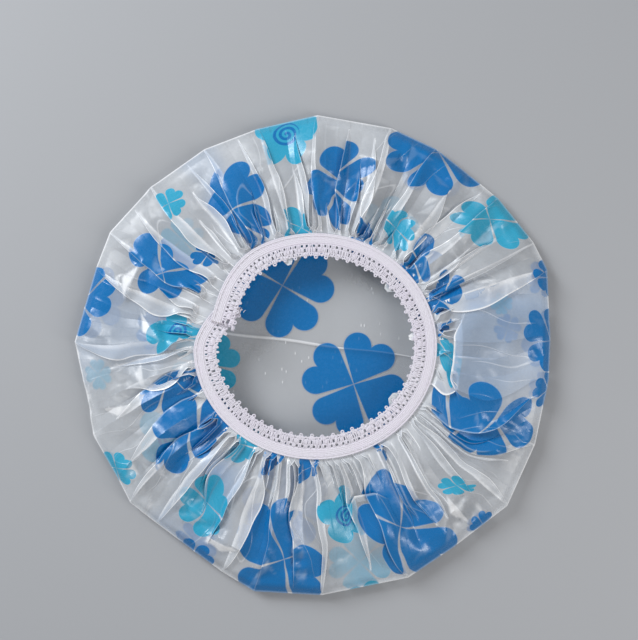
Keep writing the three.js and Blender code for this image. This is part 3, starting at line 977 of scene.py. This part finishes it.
def build_film():
    rng = np.random.default_rng(FILM_SEED)
    grid, flat, creases_and_highlights = film_grid(rng)
    crown = crown_points(rng)
    height, width = grid.shape[:2]
    index = np.arange(height * width).reshape(height, width)
    faces = ring_quads(index[:-1], index[1:]).tolist()
    shift = height * width - width
    for face in crown_faces(grid[0, :, :2], crown[:, :2]):
        faces.append([k if k < width else k + shift for k in face])
    points = np.concatenate([grid.reshape(-1, 3), crown[:, :3]])
    flat = np.concatenate([flat.reshape(-1, 2), crown[:, :2]])
    polar = np.stack([np.degrees(np.arctan2(flat[:, 1], flat[:, 0])), np.hypot(*flat.T)], -1)
    mesh = new_mesh("film_sheet", points, faces)
    mesh.set_sharp_from_angle(angle=math.radians(SHARP_FOLD))
    add_values(mesh, "crease_and_highlight", "POINT", np.concatenate([creases_and_highlights.ravel(), crown[:, 3]]))
    add_values(mesh, "blue_sheen", "POINT", painted_blue_sheen(polar))
    corners = corner_points(mesh)
    for name in ("Flat", "OFBake"):
        add_uv(mesh, name, flat[corners] / (2 * FLAT_RADIUS) + 0.5)
    add_uv(mesh, "Polar", polar[corners])
    print_film(mesh, flat)
    return new_shape("film_sheet", mesh, film_material())


# Band

def lap_lift(degrees):
    """How far the band's upper end is lifted over its lower one."""
    return LAP_LIFT * smooth(degrees, CLIMB_END - LAP_CLIMB, CLIMB_END)


def band_edge(degrees):
    inset = LAP_START_INSET * (1 - smooth(degrees, LAP_START, LAP_START + LAP_START_EASE))
    inset = inset + LAP_END_INSET * smooth(degrees, LAP_END - LAP_END_EASE, LAP_END)
    return mouth_edge(np.radians(degrees), inset)


def band_point(degrees, across, up):
    """Points of the band: across is measured in from its outer edge, up from its underside."""
    degrees, across, up = np.broadcast_arrays(degrees, across, up)
    ahead = unit(band_edge(degrees + 0.5) - band_edge(degrees - 0.5))
    inward = np.stack([-ahead[..., 1], ahead[..., 0]], -1)
    place = band_edge(degrees) + inward * across[..., None]
    return np.concatenate([place, (BAND_BASE + lap_lift(degrees) + up)[..., None]], -1)


def build_tubes(name, tubes, material):
    """One mesh of round tubes: each has a path in millimetres, a radius or radii, and may be a ring."""
    c, s = circle(TURN * np.arange(TUBE_SIDES) / TUBE_SIDES).T[..., None]
    points, faces = [], []
    for path, radius, closed in tubes:
        ahead = unit(np.roll(path, -1, 0) - np.roll(path, 1, 0) if closed else np.gradient(path, axis=0))
        side = unit(np.cross(ahead, NEARLY_UP))
        ring = c * side[:, None] + s * np.cross(side, ahead)[:, None]
        radius = np.broadcast_to(np.asarray(radius, float), len(path))
        index = len(points) + np.arange(len(path) * TUBE_SIDES).reshape(len(path), TUBE_SIDES)
        points += (path[:, None] + ring * radius[:, None, None]).reshape(-1, 3).tolist()
        near, far = (index, np.roll(index, -1, 0)) if closed else (index[:-1], index[1:])
        faces += ring_quads(near, far).tolist()
        if not closed:
            faces += [index[0, ::-1].tolist(), index[-1].tolist()]
    return new_shape(name, new_mesh(name, points, faces), material)


def tape_profile():
    """Closed cross-section of the tape: a welt at its outer edge, five ribs and a flat underside."""
    ribs = []
    for k in range(TAPE_RIBS):
        ribs += [(RIB_START + RIB_PITCH * k + across, up) for across, up in TAPE_RIB]
    return np.array(TAPE_WELT + ribs + TAPE_UNDERSIDE)


def build_tape():
    profile = tape_profile()
    count = len(profile)
    degrees = np.linspace(LAP_START + TAPE_CUT, LAP_END - TAPE_CUT, TAPE_STEPS)
    points = band_point(degrees[:, None], profile[:, 0], profile[:, 1])
    index = np.arange(TAPE_STEPS * count).reshape(TAPE_STEPS, count)
    quads = ring_quads(index[:-1], index[1:])[:, [0, 3, 2, 1]].tolist()
    ends = [index[0].tolist(), index[-1, ::-1].tolist()]
    mesh = new_mesh("tape_knit", points.reshape(-1, 3), quads + ends)
    mesh.set_sharp_from_angle(angle=math.radians(SHARP_WELT))
    steps = np.linalg.norm(np.diff(points[:, count // 2], axis=0), axis=1)
    along = np.concatenate([[0], np.cumsum(steps)])
    knit = np.stack(np.broadcast_arrays(along[:, None], profile[:, 0]), -1).reshape(-1, 2)
    add_uv(mesh, "Knit", knit[corner_points(mesh)])
    return new_shape("tape_knit", mesh, tape_material())


def lace_rungs(rng):
    """Yarns across one repeat of the lace: places along it, across it and up, and their radius."""
    yarns = []
    t = np.linspace(0, 1, YARN_STEPS)
    arch = np.sin(np.pi * t)
    lean = rng.uniform(-LACE_LEAN, LACE_LEAN)
    for start, end, rise, radius, narrow, bulge, way, places in LACE_RUNGS:
        for place in places:
            along = place * (narrow + bulge * arch) + way * lean * t
            yarns.append((along, start + (end - start) * t, rise * arch, radius))
    loose = [[rng.normal(0, size) for size in LACE_LOOSE] for _ in yarns]
    return [tuple(map(sum, zip(yarn, offsets))) for yarn, offsets in zip(yarns, loose)]


def lace_path(repeat, along, across, up):
    pitch = (LAP_END - LAP_START) / LACE_REPEATS
    degrees = np.clip(LAP_START + (repeat + along) * pitch, LAP_START, LAP_END)
    return band_point(degrees, LACE_INSET + across, LACE_LEVEL + up)


def build_lace():
    rng = np.random.default_rng(LACE_SEED)
    yarns = []
    u = np.linspace(0, LACE_REPEATS, LACE_REPEATS * ROW_STEPS)
    for across, wave, waves, bob, bobs, radius in LACE_ROWS:
        across = across + wave * np.cos(TURN * waves * u)
        yarns.append((lace_path(0, u, across, bob * np.sin(TURN * bobs * u)), radius, False))
    c, s = circle(TURN * np.arange(RING_STEPS) / RING_STEPS).T
    for repeat in range(LACE_REPEATS):
        for along, across, up, radius in lace_rungs(rng):
            yarns.append((lace_path(repeat, along, across, up), radius, False))
        size = rng.uniform(*LOOP_SIZES)
        along = 0.5 + rng.normal(0, 0.03) + size / LACE_PITCH * c
        tilt = rng.uniform(*LOOP_TILTS)
        across = LOOP_FOOT + size + rng.normal(0, 0.15) + size * s
        yarns.append((lace_path(repeat, along, across, tilt * s), LOOP_YARN, True))
        along = KNOT_SIZE / LACE_PITCH * c + rng.normal(0, 0.02)
        knot = lace_path(repeat, along, KNOT_PLACE + KNOT_SIZE * s, KNOT_LEVEL)
        yarns.append((knot, KNOT_YARN, True))
    return build_tubes("lace_yarn", yarns, yarn_material("lace_yarn", YARN_WHITE, 0.35, 0.15))


def build_seam(name, level, dip, climbs):
    """A row of stitches: each lies on the cloth and dips into it at both ends."""
    share = np.linspace(0, STITCHES, STITCHES * STITCH_STEPS + 1)
    degrees = SEAM_START + (SEAM_END - SEAM_START) * share / STITCHES
    up = level + dip * (1 - np.abs(np.sin(np.pi * share)) ** STITCH_FULLNESS)
    if not climbs:
        up = up - lap_lift(degrees)
    across = SEAM_INSET + STITCH_SWAY * np.sin(TURN * share)
    thread = (band_point(degrees, across, up), THREAD_RADIUS, False)
    return build_tubes(name, [thread], yarn_material(name, THREAD_WHITE, 0.2, 0.1))


def build_fray():
    """Loose yarn ends at the band's two cuts, with a tuft at the upper one's inner corner."""
    rng = np.random.default_rng(FRAY_SEED)
    hairs, yarns = [], []
    for end, way, count, places, reaches in FRAYS:
        hairs += [(end, way, rng.uniform(*places), rng.uniform(*reaches)) for _ in range(count)]
    t = np.linspace(0, 1, YARN_STEPS)
    for end, way, across, reach in hairs:
        radius = TUFT_RADIUS if reach > TUFT_REACH else HAIR_RADIUS
        degrees = end - way * FRAY_ROOT + way * (FRAY_ROOT + reach) * t
        sway = across + rng.normal(0.3, 0.5) * t ** 2
        up = rng.uniform(*FRAY_LEVELS) + rng.normal(0, 0.35) * t ** 2
        yarns.append((band_point(degrees, sway, up), radius * (1 - FRAY_TAPER * t), False))
    return build_tubes("frayed_yarn", yarns, yarn_material("frayed_yarn", YARN_WHITE, 0.2, 0.1))


film = build_film()
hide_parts("film")
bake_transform(film)

band_pieces = [
    (build_tape(), "tape", "elastic_tape"),
    (build_lace(), "lace", "lace_edge"),
    (build_seam("needle_stitches", NEEDLE_LEVEL, -STITCH_DIP, True), "thread", "needle_thread"),
    (build_seam("bobbin_stitches", BOBBIN_LEVEL, STITCH_DIP, False), "thread", "bobbin_thread"),
]
for piece, slot, node in band_pieces:
    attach(piece, "mouth")
    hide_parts(node)
fray = build_fray()
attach(fray, "mouth")

rubber = rubber_material()
for name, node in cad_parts.items():
    if name.startswith("rubber_core"):
        node.data.materials.clear()
        node.data.materials.append(rubber)


# Stage

def shows_backdrop(tree):
    """1 for rays that show the backdrop itself, 0 for those that light the cap."""
    path = add(tree, "LightPath").outputs
    seen = largest(path["Is Camera Ray"], path["Is Glossy Ray"])
    return largest(seen, path["Is Transmission Ray"])


def build_floor():
    """A pale floor, which turns into the even backdrop away from the cap."""
    mesh = bpy.data.meshes.new("floor")
    corners = [(-1, -1), (1, -1), (1, 1), (-1, 1)]
    points = [(x * FLOOR_REACH, y * FLOOR_REACH, FLOOR_LEVEL) for x, y in corners]
    mesh.from_pydata(points, [], [(0, 1, 2, 3)])
    material, tree, shader = new_material("floor")
    feed(shader, {"Base Color": (*FLOOR_GREY, 1), "Roughness": FLOOR_ROUGHNESS})
    place = add(tree, "NewGeometry").outputs["Position"]
    away = add(tree, "VectorMath", [place], operation="LENGTH").outputs["Value"]
    far = times(remap(away, *FLOOR_FADE), shows_backdrop(tree))
    backdrop = add(tree, "Emission", {"Color": (*FLOOR_GREY, 1)})
    both = add(tree, "MixShader", [far, shader.outputs[0], backdrop.outputs[0]])
    feed(tree.nodes["Material Output"], {"Surface": both.outputs[0]})
    return new_shape("floor", mesh, material)


def build_world():
    """Even white light from all round, with the floor's grey as the backdrop."""
    world = bpy.data.worlds.new("studio")
    world.use_nodes = True
    tree = world.node_tree
    seen = shows_backdrop(tree)
    light = {"Color": mix(seen, (1, 1, 1), FLOOR_GREY), "Strength": blend_values(seen, WORLD_LIGHT, 1.0)}
    feed(tree.nodes["Background"], light)
    return world


def area_light(name, place, size, power, colour):
    """A soft box that shines on the cap's middle."""
    data = bpy.data.lights.new(name, "AREA")
    data.shape = "RECTANGLE"
    data.size, data.size_y = size
    data.energy = power
    data.color = colour
    light = new_object(name, data)
    light.location = place
    light.rotation_euler = (-Vector(place)).to_track_quat("-Z", "Y").to_euler()


build_floor()
bpy.context.scene.world = build_world()
for light in LIGHTS:
    area_light(*light)

camera_data = bpy.data.cameras.new("camera")
camera_data.lens = CAMERA_LENS
camera_data.sensor_width = CAMERA_SENSOR
camera = new_object("camera", camera_data)
camera.location = CAMERA_PLACE
bpy.context.scene.camera = camera

bpy.context.scene.view_settings.view_transform = "Standard"
